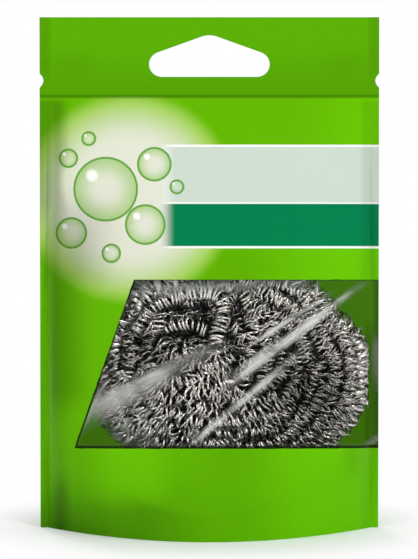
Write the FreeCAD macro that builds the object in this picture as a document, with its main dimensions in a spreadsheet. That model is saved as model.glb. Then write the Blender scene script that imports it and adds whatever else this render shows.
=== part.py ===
"""A spiral steel pot scrubber lying loose in a stand-up film pouch with a clear window.

Millimetres. Z is up, the pouch front faces -Y, and the origin is on the floor under the middle of the pouch.
"""

import FreeCAD
import Part
import math
import os
import Sketcher

V = FreeCAD.Vector
ORIGIN = V(0, 0, 0)
RIGHT = V(1, 0, 0)
BACK = V(0, 1, 0)
UP = V(0, 0, 1)

SIZES = {
    # The scrubber, a flattened ball of curled steel strands.
    "scrubber_width": 73.4,
    "scrubber_height": 61.0,
    "scrubber_thickness": 29.2,
    "strand_count": 12,
    "curl_count": 8,
    "curl_diameter": 5.4,
    "wire_diameter": 0.7,
    "hub_radius": 11.6,
    "core_gap": 0.9,
    "tie_diameter": 2.4,
    "tie_clearance": 0.2,
    "tie_stub": 1.5,
    "eye_radius": 1.6,
    # The room that the pouch leaves round the scrubber.
    "slide_travel": 10.6,
    "side_clearance": 0.8,
    "belly_clearance": 2.0,
    "seat_gap": 0.4,
    "headroom": 44.0,
    # The film and its welds.
    "film": 0.2,
    "side_seal": 2.0,
    "top_seal": 21.2,
    "closing_weld": 1.5,
    "weld_gap": 0.1,
    "gusset_rise": 11.0,
    "gusset_flare": 5.0,
    # The hang hole and the tear notches, measured up from the top seal line.
    "tear_rise": 4.2,
    "hole_rise": 5.2,
    "hole_width": 32.0,
    "hole_height": 11.2,
    "hole_end_radius": 3.4,
    "hole_peak_radius": 6.0,
    "notch_radius": 2.2,
    "notch_depth": 1.0,
    # The window, measured up the leaning front and to the left of its middle.
    "window_foot": 21.2,
    "window_height": 44.8,
    "window_left_foot": 35.9,
    "window_left_head": 20.0,
}

# How the belly runs in from the floor to the top seal, how full its sections are, and how square
# the scrubber's outline is.
BELLY_POWER = 1.6
ARC_POWER = 2.0
ROUND_POWER = 2.3
FULL_POWER = 0.8
LENS_POWER = 1.5
HEIGHT_SHARES = (0.0, 0.08, 0.18, 0.29, 0.4, 0.52, 0.64, 0.76, 0.88, 1.0)
GUSSET_SHARES = (-0.95, -0.75, -0.4, 0.0, 0.4, 0.75, 0.95)
SECTION_STEPS = 14
ARCH_STEPS = 10
QUARTERS = 4
PATH_STEPS = 90
GAP_SAMPLES = 4

doc = FreeCAD.newDocument("scrubber_pouch")
sheet = doc.addObject("Spreadsheet::Sheet", "Sizes")
for row, (alias, number) in enumerate(SIZES.items(), start=1):
    sheet.set(f"A{row}", alias)
    sheet.set(f"B{row}", str(number))
    sheet.setAlias(f"B{row}", alias)
doc.recompute()

# Sizes that follow from the sheet, as expressions, so that bound features and curved films agree.
DERIVED = {
    "pouch_width": "<<Sizes>>.scrubber_width + <<Sizes>>.slide_travel"
    " + 2 * (<<Sizes>>.side_clearance + <<Sizes>>.film + <<Sizes>>.side_seal)",
    "scrubber_z": "<<Sizes>>.gusset_rise + <<Sizes>>.seat_gap + <<Sizes>>.scrubber_height / 2",
    "seal_z": "<<Sizes>>.gusset_rise + <<Sizes>>.seat_gap + <<Sizes>>.scrubber_height + <<Sizes>>.headroom",
    "core_cut": "<<Sizes>>.curl_diameter + <<Sizes>>.core_gap",
}


def size(name):
    """A size of the sheet, or one that follows from it."""
    return sheet.evalExpression(DERIVED[name]) if name in DERIVED else sheet.get(name)


film = size("film")
half_width = size("pouch_width") / 2
belly_half = half_width - size("side_seal")
seal_z = size("seal_z")
tear_z = seal_z + size("tear_rise")
scrubber_z = size("scrubber_z")
belly_depth = size("scrubber_thickness") / 2 + size("belly_clearance")
base_bulge = belly_depth / (1 - (scrubber_z / seal_z) ** BELLY_POWER)
lean = math.atan2(base_bulge, seal_z)


def bulge(z):
    """How far the inside of a panel stands out from the middle plane, on the centre line."""
    return base_bulge * (1 - (max(z, 0) / seal_z) ** BELLY_POWER)


def fullness(z):
    """Power of the section at a height: an arc at the floor, an ellipse at the scrubber, a lens above."""
    if z < scrubber_z:
        return FULL_POWER + (ARC_POWER - FULL_POWER) * (1 - max(z, 0) / scrubber_z) ** 2
    return FULL_POWER + (LENS_POWER - FULL_POWER) * ((z - scrubber_z) / (seal_z - scrubber_z)) ** 2


def belly_curve(half, out, z):
    """Belly of one section, from the left weld to the right one, standing out from the middle plane."""
    points = []
    for step in range(SECTION_STEPS + 1):
        turn = math.pi * (step / SECTION_STEPS - 1 / 2)
        swell = max(math.cos(turn), 0) ** fullness(z)
        points.append(V(half * math.sin(turn), -out - bulge(z) * swell, z))
    curve = Part.BSplineCurve()
    curve.interpolate(points)
    return curve.toShape()


def closed(curve, corners):
    """Wire of a curve closed by straight edges through corners, from its end back to its start."""
    path = [curve.Vertexes[-1].Point] + corners + [curve.Vertexes[0].Point]
    return Part.Wire([curve] + [Part.LineSegment(a, b).toShape() for a, b in zip(path, path[1:])])


def outer_section(z):
    corners = [V(half_width, -film, z), V(half_width, 0, z), V(-half_width, 0, z), V(-half_width, -film, z)]
    return closed(belly_curve(belly_half, film, z), corners)


def inner_section(z):
    inner_half = belly_half - film
    return closed(belly_curve(inner_half, 0, z), [V(inner_half, film, z), V(-inner_half, film, z)])


def notches():
    """Cutters of the two tear notches in the pouch sides."""
    reach = half_width + size("notch_radius") - size("notch_depth")
    spots = [V(side * reach, -film * 2, tear_z) for side in (-1, 1)]
    return [Part.makeCylinder(size("notch_radius"), film * 4, spot, BACK) for spot in spots]


def panel():
    """One whole panel of the pouch: belly, side strips and the strip up to the tear line."""
    outside = Part.makeLoft([outer_section(seal_z * share) for share in HEIGHT_SHARES], True)
    strip = Part.makeBox(half_width * 2, film, tear_z - seal_z, V(-half_width, -film, seal_z))
    inside_top = seal_z - size("closing_weld")
    heights = [-film] + [inside_top * share for share in HEIGHT_SHARES]
    inside = Part.makeLoft([inner_section(z) for z in heights], True)
    return outside.fuse(strip).cut(inside).cut(Part.Compound(notches()))


def window_prism():
    """Block square to the leaning front that holds the window and runs out past the right edge."""
    rise = V(0, math.sin(lean), math.cos(lean))
    foot = rise * size("window_foot")
    head = rise * (size("window_foot") + size("window_height"))
    past = RIGHT * (half_width + size("side_seal"))
    outline = [foot - RIGHT * size("window_left_foot"), foot + past, head + past]
    outline.append(head - RIGHT * size("window_left_head"))
    face = Part.Face(Part.makePolygon(outline + outline[:1]))
    return face.extrude(V(0, -math.cos(lean), math.sin(lean)) * (base_bulge * 2))


def arch(x, thick):
    """Arch of the gusset across the pouch at one place along it, inside by a thickness."""
    along = x / (belly_half - film)
    foot = base_bulge * (1 - along**2) - size("weld_gap") - thick
    crest = size("gusset_rise") + size("gusset_flare") * along**2 - thick
    turns = [math.pi * step / ARCH_STEPS for step in range(ARCH_STEPS + 1)]
    curve = Part.BSplineCurve()
    curve.interpolate([V(x, foot * math.cos(turn), crest * math.sin(turn)) for turn in turns])
    return curve.toShape()


def gusset_section(x):
    over = arch(x, 0)
    under = arch(x, film)
    feet = [Part.LineSegment(over.Vertexes[n].Point, under.Vertexes[n].Point).toShape() for n in (0, -1)]
    return Part.Wire(Part.__sortEdges__([over, under] + feet))


def solid_of(shape):
    """The one solid of a shape, or an error if there are more or none."""
    if len(shape.Solids) != 1:
        raise ValueError(f"{len(shape.Solids)} solids where one is wanted")
    return shape.Solids[0]


def add_shape(label, shape):
    feature = doc.addObject("Part::Feature", label)
    feature.Shape = solid_of(shape)
    feature.Label = label
    return feature


def plane_of(body, role):
    return next(plane for plane in body.Origin.OriginFeatures if plane.Role == role)


def front_sketch(body, name):
    """Sketch on the upright middle plane of a body, its x along X and its y along Z."""
    sketch = body.newObject("Sketcher::SketchObject", name)
    sketch.AttachmentSupport = (plane_of(body, "XZ_Plane"), "")
    sketch.MapMode = "FlatFace"
    return sketch


def bind(sketch, name, expression, *constraint):
    """Adds a sized constraint under a name and binds it to the sheet."""
    sketch.addConstraint(Sketcher.Constraint(*constraint, sheet.evalExpression(expression)))
    sketch.renameConstraint(sketch.ConstraintCount - 1, name)
    sketch.setExpression(f"Constraints.{name}", expression)


def header():
    """Flat welded strip with a three-cornered hang hole and half of each tear notch."""
    body = doc.addObject("PartDesign::Body", "tear_off_header")
    top_z = seal_z + size("top_seal")
    width = DERIVED["pouch_width"]
    tear = f"{DERIVED['seal_z']} + <<Sizes>>.tear_rise"
    outline = front_sketch(body, "header_outline")
    corners = [V(-half_width, tear_z, 0), V(half_width, tear_z, 0), V(half_width, top_z, 0)]
    corners.append(V(-half_width, top_z, 0))
    for side in range(4):
        outline.addGeometry(Part.LineSegment(corners[side], corners[(side + 1) % 4]))
    for side in range(4):
        outline.addConstraint(Sketcher.Constraint("Coincident", side, 2, (side + 1) % 4, 1))
    for side, way in ((1, "Vertical"), (2, "Horizontal"), (3, "Vertical")):
        outline.addConstraint(Sketcher.Constraint(way, side))
    outline.addConstraint(Sketcher.Constraint("Symmetric", 0, 1, 0, 2, -2))
    bind(outline, "width", width, "DistanceX", 0, 1, 0, 2)
    bind(outline, "tear", tear, "DistanceY", -1, 1, 0, 1)
    bind(outline, "rise", "<<Sizes>>.top_seal - <<Sizes>>.tear_rise", "DistanceY", 1, 1, 1, 2)
    pad = body.newObject("PartDesign::Pad", "header_pad")
    pad.Profile = outline
    pad.SideType = "Symmetric"
    pad.setExpression("Length", "2 * <<Sizes>>.film")
    doc.recompute()

    hole = front_sketch(body, "hang_hole_outline")
    end = size("hole_end_radius")
    peak = size("hole_peak_radius")
    reach = size("hole_width") / 2 - end
    low = seal_z + size("hole_rise") + end
    high = seal_z + size("hole_rise") + size("hole_height") - peak
    slope = math.atan2(high - low, reach) + math.asin((peak - end) / math.hypot(high - low, reach))
    out = V(math.sin(slope), math.cos(slope), 0)
    mirrored = V(-out.x, out.y, 0)
    left, right, top = V(-reach, low, 0), V(reach, low, 0), V(0, high, 0)
    down = V(0, -1, 0)

    def corner(centre, radius, start, finish):
        """Rounded corner, anticlockwise between two directions from its centre."""
        angles = [math.atan2(way.y, way.x) for way in (start, finish)]
        hole.addGeometry(Part.ArcOfCircle(Part.Circle(centre, UP, radius), *angles))

    corner(right, end, down, out)
    corner(top, peak, out, mirrored)
    corner(left, end, mirrored, down)
    hole.addGeometry(Part.LineSegment(right + out * end, top + out * peak))
    hole.addGeometry(Part.LineSegment(top + mirrored * peak, left + mirrored * end))
    hole.addGeometry(Part.LineSegment(left + down * end, right + down * end))
    for arc in range(3):
        hole.addConstraint(Sketcher.Constraint("Tangent", arc, 2, arc + 3, 1))
        hole.addConstraint(Sketcher.Constraint("Tangent", arc + 3, 2, (arc + 1) % 3, 1))
    hole.addConstraint(Sketcher.Constraint("Symmetric", 0, 3, 2, 3, -2))
    hole.addConstraint(Sketcher.Constraint("PointOnObject", 1, 3, -2))
    hole.addConstraint(Sketcher.Constraint("Equal", 0, 2))
    bind(hole, "end", "<<Sizes>>.hole_end_radius", "Radius", 0)
    bind(hole, "peak", "<<Sizes>>.hole_peak_radius", "Radius", 1)
    bind(hole, "span", "<<Sizes>>.hole_width - 2 * <<Sizes>>.hole_end_radius", "DistanceX", 2, 3, 0, 3)
    bind(hole, "low", f"{DERIVED['seal_z']} + <<Sizes>>.hole_rise", "DistanceY", -1, 1, 5, 1)
    rise = "<<Sizes>>.hole_height - <<Sizes>>.hole_end_radius - <<Sizes>>.hole_peak_radius"
    bind(hole, "rise", rise, "DistanceY", 0, 3, 1, 3)

    nicks = front_sketch(body, "notch_outline")
    nick = size("notch_radius")
    out_to = half_width + nick - size("notch_depth")
    for side in (-1, 1):
        nicks.addGeometry(Part.Circle(V(side * out_to, tear_z, 0), UP, nick))
    nicks.addConstraint(Sketcher.Constraint("Symmetric", 0, 3, 1, 3, -2))
    nicks.addConstraint(Sketcher.Constraint("Equal", 0, 1))
    bind(nicks, "round", "<<Sizes>>.notch_radius", "Radius", 1)
    apart = f"{width} + 2 * (<<Sizes>>.notch_radius - <<Sizes>>.notch_depth)"
    bind(nicks, "apart", apart, "DistanceX", 0, 3, 1, 3)
    bind(nicks, "tear", tear, "DistanceY", -1, 1, 1, 3)

    for name, sketch in (("hang_hole", hole), ("tear_notches", nicks)):
        pocket = body.newObject("PartDesign::Pocket", name)
        pocket.Profile = sketch
        pocket.Type = "ThroughAll"
        pocket.SideType = "Symmetric"
        doc.recompute()
    return body


def arc_edge(start, corner, finish):
    """Round arc between two points whose tangents meet at a corner."""
    middle = (start + finish) / 2
    angle = (corner - start).getAngle(finish - start)
    crown = middle + (corner - middle) * (math.tan(angle / 2) / math.tan(angle))
    return Part.Arc(start, crown, finish).toShape()


def biarc(start, way_in, finish, way_out):
    """Two arcs that join two points and keep the direction at each."""
    chord = finish - start
    pull = chord.dot(way_in + way_out)
    bend = 2 * (1 - way_in.dot(way_out))
    reach = (math.sqrt(pull**2 + bend * chord.dot(chord)) - pull) / bend
    first = start + way_in * reach
    second = finish - way_out * reach
    joint = (first + second) / 2
    return [arc_edge(start, first, joint), arc_edge(joint, second, finish)]


def scrubber_middle():
    """Middle of the scrubber, pushed to the right end of its room in the pouch."""
    return V(size("slide_travel") / 2, 0, scrubber_z)


class Strand:
    """One curled strand, from the front hub over the rim to the back hub."""

    def __init__(self, number):
        self.angle = 2 * math.pi * number / size("strand_count")
        self.hand = -1 if number % 2 else 1
        self.out = V(math.cos(self.angle), 0, math.sin(self.angle))
        inset = size("curl_diameter") / 2
        across = (size("scrubber_width") / 2 - inset, size("scrubber_height") / 2 - inset)
        reaches = [abs(way) / half for way, half in zip((self.out.x, self.out.z), across)]
        self.radius = sum(reach**ROUND_POWER for reach in reaches) ** (-1 / ROUND_POWER)
        self.depth = size("scrubber_thickness") / 2 - inset
        start = math.asin(size("hub_radius") / self.radius)
        self.turns = [start + (math.pi - 2 * start) * step / PATH_STEPS for step in range(PATH_STEPS + 1)]
        spots = [self.spot(turn) for turn in self.turns]
        self.lengths = [0]
        for a, b in zip(spots, spots[1:]):
            self.lengths.append(self.lengths[-1] + (b - a).Length)

    def spot(self, turn):
        """Point of the rounded path that the curls wind round."""
        forward = BACK * (self.depth * math.cos(turn))
        return scrubber_middle() + self.out * (self.radius * math.sin(turn)) - forward

    def curl(self, share):
        """Point of the curled wire at a share of the path's length."""
        goal = share * self.lengths[-1]
        step = max(1, next((n for n, run in enumerate(self.lengths) if run >= goal), PATH_STEPS))
        part = (goal - self.lengths[step - 1]) / (self.lengths[step] - self.lengths[step - 1])
        turn = self.turns[step - 1] + (self.turns[step] - self.turns[step - 1]) * part
        side = self.out.cross(BACK)
        along = self.out * (self.radius * math.cos(turn)) + BACK * (self.depth * math.sin(turn))
        normal = side.cross(along).normalize()
        wind = 2 * math.pi * size("curl_count") * share * self.hand
        reach = (size("curl_diameter") - size("wire_diameter")) / 2
        return self.spot(turn) + (normal * math.cos(wind) + side * math.sin(wind)) * reach

    def way(self, share):
        """Direction of the curled wire at a share of the path's length."""
        near = 1 / (QUARTERS * PATH_STEPS * size("curl_count"))
        return (self.curl(share + near) - self.curl(share - near)).normalize()

    def edges(self):
        knots = int(QUARTERS * size("curl_count"))
        shares = [knot / knots for knot in range(knots + 1)]
        points = [self.curl(share) for share in shares]
        ways = [self.way(share) for share in shares]
        stub = size("wire_diameter")
        edges = [Part.LineSegment(points[0] - ways[0] * stub, points[0]).toShape()]
        for n in range(knots):
            edges += biarc(points[n], ways[n], points[n + 1], ways[n + 1])
        return edges + [Part.LineSegment(points[-1], points[-1] + ways[-1] * stub).toShape()]

    def solid(self):
        """The wire as one unbroken tube, its least gap to itself and its tightest bend."""
        edges = self.edges()
        start = edges[0].Vertexes[0].Point
        ring = Part.Wire([Part.makeCircle(size("wire_diameter") / 2, start, self.way(0))])
        pipe = Part.BRepOffsetAPI.MakePipeShell(Part.Wire(edges))
        pipe.add(ring)
        pipe.build()
        pipe.makeSolid()
        points = [point for edge in edges for point in edge.discretize(GAP_SAMPLES)[:-1]]
        apart = (GAP_SAMPLES - 1) * QUARTERS
        gap = min(
            (points[b] - points[a]).Length
            for a in range(len(points))
            for b in range(a + apart, len(points))
        )
        bend = min(edge.Curve.Radius for edge in edges[1:-1])
        return pipe.shape(), gap - size("wire_diameter"), bend


def scrubber_core():
    """Flattened ball of the packed inner turns, with the bore that the tie runs through."""
    middle = scrubber_middle()
    ball = doc.addObject("Part::Ellipsoid", "packed_ball")
    for prop, name in (("Radius1", "height"), ("Radius2", "width"), ("Radius3", "thickness")):
        ball.setExpression(prop, f"<<Sizes>>.scrubber_{name} / 2 - ({DERIVED['core_cut']})")
    ball.Placement.Base = middle
    bore = doc.addObject("Part::Cylinder", "tie_bore")
    bore.setExpression("Radius", "<<Sizes>>.tie_diameter / 2 + <<Sizes>>.tie_clearance")
    bore.setExpression("Height", "<<Sizes>>.scrubber_thickness")
    bore.Placement = FreeCAD.Placement(middle - BACK * (size("scrubber_thickness") / 2), turn_to_back())
    core = doc.addObject("Part::Cut", "inner_coils")
    core.Base = ball
    core.Tool = bore
    return core


def turn_to_back():
    """Turn that lays an upright axis along +Y."""
    return FreeCAD.Rotation(UP, BACK)


def scrubber_tie():
    """Twisted wire through the core, with an eye standing at each end."""
    middle = scrubber_middle()
    reach = size("scrubber_thickness") / 2 - size("core_cut") + size("tie_stub")
    stem = doc.addObject("Part::Cylinder", "tie_stem")
    stem.setExpression("Radius", "<<Sizes>>.tie_diameter / 2")
    cut_off = f"{DERIVED['core_cut']} - <<Sizes>>.tie_stub"
    stem.setExpression("Height", f"<<Sizes>>.scrubber_thickness - 2 * ({cut_off})")
    stem.Placement = FreeCAD.Placement(middle - BACK * reach, turn_to_back())
    eyes = []
    for name, way in (("front_eye", -1), ("back_eye", 1)):
        eye = doc.addObject("Part::Torus", name)
        eye.setExpression("Radius1", "<<Sizes>>.eye_radius")
        eye.setExpression("Radius2", "<<Sizes>>.tie_diameter / 4")
        eye.Placement.Base = middle + BACK * (way * (reach + size("eye_radius")))
        eyes.append(eye)
    tie = doc.addObject("Part::MultiFuse", "centre_tie")
    tie.Shapes = [stem] + eyes
    return tie


whole_front = panel()
window = window_prism()
nodes = [header()]
nodes.append(add_shape("front_film", whole_front.cut(window)))
nodes.append(add_shape("window_film", whole_front.common(window)))
nodes.append(add_shape("back_film", whole_front.mirror(ORIGIN, BACK)))
along = [(belly_half - film) * share for share in GUSSET_SHARES]
nodes.append(add_shape("bottom_gusset", Part.makeLoft([gusset_section(x) for x in along], True)))
nodes += [scrubber_core(), scrubber_tie()]
for number in range(int(size("strand_count"))):
    shape, gap, bend = Strand(number).solid()
    nodes.append(add_shape(f"coil_strand_{number + 1:02d}", shape))
    print(f"strand {number + 1}: least gap to itself {gap:.2f} mm, tightest bend {bend:.2f} mm")
doc.recompute()

os.makedirs("parts", exist_ok=True)
for item in doc.Objects:
    if "Invalid" in item.State or "Error" in item.State:
        raise RuntimeError(f"{item.Label}: {item.State}")
for node in nodes:
    if node.Shape.isNull() or not node.Shape.isValid() or len(node.Shape.Solids) != 1:
        raise RuntimeError(f"{node.Label}: not one sound solid")
    node.Shape.exportStep(f"parts/{node.Label}.step")
    box = node.Shape.BoundBox
    print(f"{node.Label}: {box.XLength:.1f} x {box.YLength:.1f} x {box.ZLength:.1f} mm")
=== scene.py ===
"""A spiral steel scrubber in its stand-up pouch: printed films, clear window, header and curled strands."""

import math

import bpy
import numpy as np
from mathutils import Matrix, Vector


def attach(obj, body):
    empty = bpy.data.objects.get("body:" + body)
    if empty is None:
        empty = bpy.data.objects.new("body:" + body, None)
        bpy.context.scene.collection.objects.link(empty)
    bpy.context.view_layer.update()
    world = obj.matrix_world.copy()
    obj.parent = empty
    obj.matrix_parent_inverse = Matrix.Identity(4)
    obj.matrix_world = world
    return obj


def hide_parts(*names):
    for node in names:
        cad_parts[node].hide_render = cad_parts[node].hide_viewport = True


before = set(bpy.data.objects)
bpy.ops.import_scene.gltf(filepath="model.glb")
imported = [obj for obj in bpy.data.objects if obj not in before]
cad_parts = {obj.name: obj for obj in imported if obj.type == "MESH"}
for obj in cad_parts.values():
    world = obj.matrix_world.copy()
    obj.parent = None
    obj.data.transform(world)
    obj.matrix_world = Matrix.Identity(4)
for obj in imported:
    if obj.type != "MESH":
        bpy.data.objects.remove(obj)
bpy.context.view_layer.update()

MM = 0.001

# The pouch, in millimetres: Z up from the floor, front towards -Y, as in the part's source.
HALF_WIDTH = 45.0
BELLY_HALF = 43.0
FILM = 0.2
PRINTED_WALL = 0.18
CLEAR_WALL = 0.12
SEAL_Z = 116.4
TEAR_Z = 120.6
TOP_Z = 137.6
NOTCH_RADIUS = 2.2
NOTCH_DEPTH = 1.0
GUSSET_RISE = 11.0
GUSSET_FLARE = 5.0

# The hang hole: radius of its ends and its peak, where the ends stand, its foot over the seal, its height.
HOLE_END = 3.4
HOLE_PEAK = 6.0
HOLE_SPAN = 12.6
HOLE_FOOT = 5.2
HOLE_HEIGHT = 11.2

# The scrubber: a squashed ball, how square its outline is and how far it can shift to the left.
MIDDLE = np.array((5.3, 0.0, 41.9))
HALF_SIZE = np.array((36.7, 14.6, 30.5))
ROUND_POWER = 2.3
TRAVEL = 10.6

# The panels' bulge: its depth at the scrubber's height, and the power of its curve up to the seal.
BELLY_DEPTH = 16.6
BULGE_POWER = 1.6
BULGE = BELLY_DEPTH / (1 - (MIDDLE[2] / SEAL_Z) ** BULGE_POWER)

# The leaning front, with the ways to the right, up it and out of it.
LEAN = math.atan2(BULGE, SEAL_Z)
RIGHT = np.array((1.0, 0.0, 0.0))
RISE = np.array((0.0, math.sin(LEAN), math.cos(LEAN)))
OUT = np.array((0.0, -math.cos(LEAN), math.sin(LEAN)))

# The window, up the leaning front and from the middle line.
WINDOW_FOOT = 21.2
WINDOW_HEAD = 66.0
WINDOW_LEFT_FOOT = -35.9
WINDOW_LEFT_HEAD = -20.0


def tone(red, green, blue):
    """A colour as it looks on screen, as the shader's linear value."""
    parts = [c / 255 for c in (red, green, blue)]
    return (*[c / 12.92 if c <= 0.04045 else ((c + 0.055) / 1.055) ** 2.4 for c in parts], 1.0)


BLACK = tone(0, 0, 0)
WHITE = tone(255, 255, 255)


class Value:
    """A socket with the arithmetic that the finishes use."""

    def __init__(self, finish, socket):
        self.finish = finish
        self.socket = socket

    def also(self, name):
        """Another output of the same node."""
        return Value(self.finish, self.socket.node.outputs[name])

    def math(self, operation, *others):
        inputs = dict(enumerate((self, *others)))
        return self.finish.node("ShaderNodeMath", {"operation": operation}, inputs)

    def __add__(self, other):
        return self.math("ADD", other)

    def __sub__(self, other):
        return self.math("SUBTRACT", other)

    def __mul__(self, other):
        return self.math("MULTIPLY", other)

    def __truediv__(self, other):
        return self.math("DIVIDE", other)

    def __pow__(self, other):
        return self.math("POWER", other)

    def __rsub__(self, other):
        return self.finish.node("ShaderNodeMath", {"operation": "SUBTRACT"}, {0: other, 1: self})

    __radd__ = __add__
    __rmul__ = __mul__

    def size(self):
        return self.math("ABSOLUTE")

    def most(self, other):
        return self.math("MAXIMUM", other)

    def ease(self, start, end):
        """0 up to start, 1 from end on, smooth between, either way round."""
        inputs = {"Value": self, "From Min": start, "From Max": end}
        return self.finish.node("ShaderNodeMapRange", {"interpolation_type": "SMOOTHSTEP"}, inputs)

    def near(self, middle, far, close):
        """1 closer than close to a middle, 0 further than far from it, smooth between."""
        return (self - middle).size().ease(far, close)


class Finish:
    """A material and the ways to add nodes to it."""

    def __init__(self, name, **constants):
        self.material = bpy.data.materials.new(name)
        self.material.use_nodes = True
        self.tree = self.material.node_tree
        self.shader = next(n for n in self.tree.nodes if n.type == "BSDF_PRINCIPLED")
        for socket, number in constants.items():
            self.shader.inputs[socket.replace("_", " ")].default_value = number

    def node(self, kind, settings=None, inputs=None, output=0):
        node = self.tree.nodes.new(kind)
        for name, value in (settings or {}).items():
            setattr(node, name, value)
        for name, value in (inputs or {}).items():
            if isinstance(value, Value):
                self.tree.links.new(value.socket, node.inputs[name])
            else:
                node.inputs[name].default_value = value
        return Value(self, node.outputs[output])

    def mix(self, below, above, share):
        inputs = {0: share, 6: below, 7: above}
        return self.node("ShaderNodeMix", {"data_type": "RGBA"}, inputs, 2)

    def where(self):
        """Object coordinates as a vector."""
        return self.node("ShaderNodeTexCoord", output="Object")

    def place(self):
        """Object coordinates, as a vector and as millimetres along X, Y and Z."""
        where = self.where()
        x = self.node("ShaderNodeSeparateXYZ", inputs={"Vector": where})
        return where, x / MM, x.also("Y") / MM, x.also("Z") / MM

    def attribute(self, name):
        return self.node("ShaderNodeAttribute", {"attribute_name": name}, output="Fac")

    def noise(self, where, scale, detail=3.0):
        inputs = {"Vector": where, "Scale": scale, "Detail": detail}
        return self.node("ShaderNodeTexNoise", inputs=inputs, output="Fac")

    def feed(self, socket, value):
        self.tree.links.new(value.socket, self.shader.inputs[socket])

    def bump(self, height, strength, distance):
        inputs = {"Height": height, "Strength": strength, "Distance": distance}
        self.feed("Normal", self.node("ShaderNodeBump", inputs=inputs, output="Normal"))


def up_front(y, z):
    """How far up the leaning front a point is."""
    return y * math.sin(LEAN) + z * math.cos(LEAN)


def away_from(x, v):
    """Distance from a place, by the distances along both ways."""
    return (x * x + v * v) ** 0.5


# Bump of the films: strength, and height in metres.
FILM_BUMP = (0.3, 0.0012)


def film_bump(f, where, x, z):
    """Faint ripple of the film and the pressed lines of the welds."""
    ripple = f.noise(where, 26.0, 2.0)
    side = x.size().ease(39.6, 41.6)
    head = z.ease(SEAL_Z - 0.5, SEAL_Z + 0.5)
    f.bump(ripple * 0.9 - side.most(head) * 0.35, *FILM_BUMP)


def green_with_painted_light(f, x, v, front):
    """The print's green, with painted light and shade of the bent film."""
    # Painted light: the green turns lighter towards the right.
    to_the_right = (x + v.ease(40, 25) * 6 - v.ease(80, 100) * 8).ease(12, 38)
    green = f.mix(tone(100, 183, 0), tone(107, 199, 0), to_the_right)
    # Painted shade: darker in the middle of the lower front.
    dark_middle = x.near(6, 14, 0) * v.ease(80, 70) * v.ease(8, 20)
    green = f.mix(green, tone(90, 166, 0), dark_middle * 0.5)
    # Painted shade: darker at the foot, towards the left.
    foot = x.ease(26, 6) * v.ease(22, 4)
    green = f.mix(green, tone(84, 163, 0), foot * 0.5)
    # Painted highlight: a soft bright patch low on the left.
    bright_patch = x.near(-21, 14, 3) * v.ease(4, 10) * v.ease(30, 22)
    green = f.mix(green, tone(116, 208, 0), bright_patch * 0.55)
    # Painted light: the far left edge lighter between low and middle heights.
    left_strip = x.ease(-41.4, -44.0) * v.ease(15, 24) * v.ease(72, 60)
    green = f.mix(green, tone(118, 212, 0), left_strip * 0.4)
    # Painted shade below the arc of the gusset's weld, strongest left of the middle.
    under_arc = v - (x + 1) * (x + 1) * 0.0125
    gusset_arc_shade = under_arc.ease(4.6, 2.6) * x.ease(-26, -16) * (x.ease(4, -14) * 0.13 + 0.025)
    green = f.mix(green, BLACK, gusset_arc_shade * front)
    # Painted shade: darker towards the lower left corner.
    low_corner = x.ease(0, -44) * v.ease(14, -2)
    return f.mix(green, tone(48, 98, 0), low_corner * 0.7)


# Middle of the pale glow, across and up the front, and where the plain bands begin and are full.
GLOW = (-21.2, 87.7)
BANDS_FROM = (-13.5, -9.0)

# The plain bands, each over its white lines: lower edge, upper edge and colour, and how soft the edges are.
BANDS = (
    (86.0, 101.8, WHITE),
    (86.5, 101.2, tone(207, 221, 207)),
    (74.3, 86.1, WHITE),
    (74.9, 86.1, tone(0, 129, 77)),
)
BAND_SOFT = 0.08


def glow_and_bands(f, x, v, front, green):
    """Pale round glow, and two plain bands that run to the right edge."""
    far = away_from(x - GLOW[0], v - GLOW[1])
    green = f.mix(green, tone(152, 206, 20), far.ease(29.5, 24.0) * front)
    green = f.mix(green, tone(230, 232, 214), far.ease(29.0, 14.0) * front)
    shown = x.ease(*BANDS_FROM) * front
    for low, high, colour in BANDS:
        above = v.ease(low - BAND_SOFT, low + BAND_SOFT)
        below = v.ease(high + BAND_SOFT, high - BAND_SOFT)
        green = f.mix(green, colour, above * below * shown)
    return green


# Plain soap bubbles of the print: middle across and up the front, and radius, in millimetres.
BUBBLES = (
    (-27.5, 90.0, 8.6), (-14.6, 96.6, 4.6), (-36.6, 78.4, 4.2), (-17.0, 80.6, 5.4),
    (-37.4, 98.2, 2.6), (-26.0, 73.0, 2.6), (-8.6, 90.6, 2.0), (-32.0, 103.4, 2.0),
)


def bubbles(f, x, v, front, green):
    """Soap bubbles, each with a shaded body, a thin line round it and a glint at the upper left."""
    for middle, up, radius in BUBBLES:
        bx = x - middle
        bv = v - up
        off = away_from(bx, bv)
        body = off.ease(radius + 0.1, radius - 0.1) * front
        green = f.mix(green, tone(152, 200, 92), body * off.ease(radius * 0.2, radius * 1.05) * 0.75)
        line = (off - radius + 0.3).size().ease(0.34, 0.2) * front
        green = f.mix(green, tone(74, 156, 20), line * 0.8)
        glint = away_from(bx + radius * 0.42, bv - radius * 0.42).ease(radius * 0.24, radius * 0.12)
        green = f.mix(green, tone(252, 253, 246), glint * front)
    return green


def head_green_and_shade(f, x, z):
    """Green of the welded header, lighter towards the top, with painted shade in its side welds and in the
    dents beside the hang hole.
    """
    green = f.mix(tone(86, 163, 0), tone(93, 176, 0), z.ease(SEAL_Z, SEAL_Z + 15))
    # Painted shade on the header's side welds.
    side_weld_shade = x.size().ease(41.6, 42.6) * z.ease(118, 126)
    green = f.mix(green, BLACK, side_weld_shade * 0.16)
    # Painted shade of dents beside the hang hole.
    dent_shade = x.size().near(36, 7, 1) * z.near(125, 5, 1)
    return f.mix(green, BLACK, dent_shade * 0.08)


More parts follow.
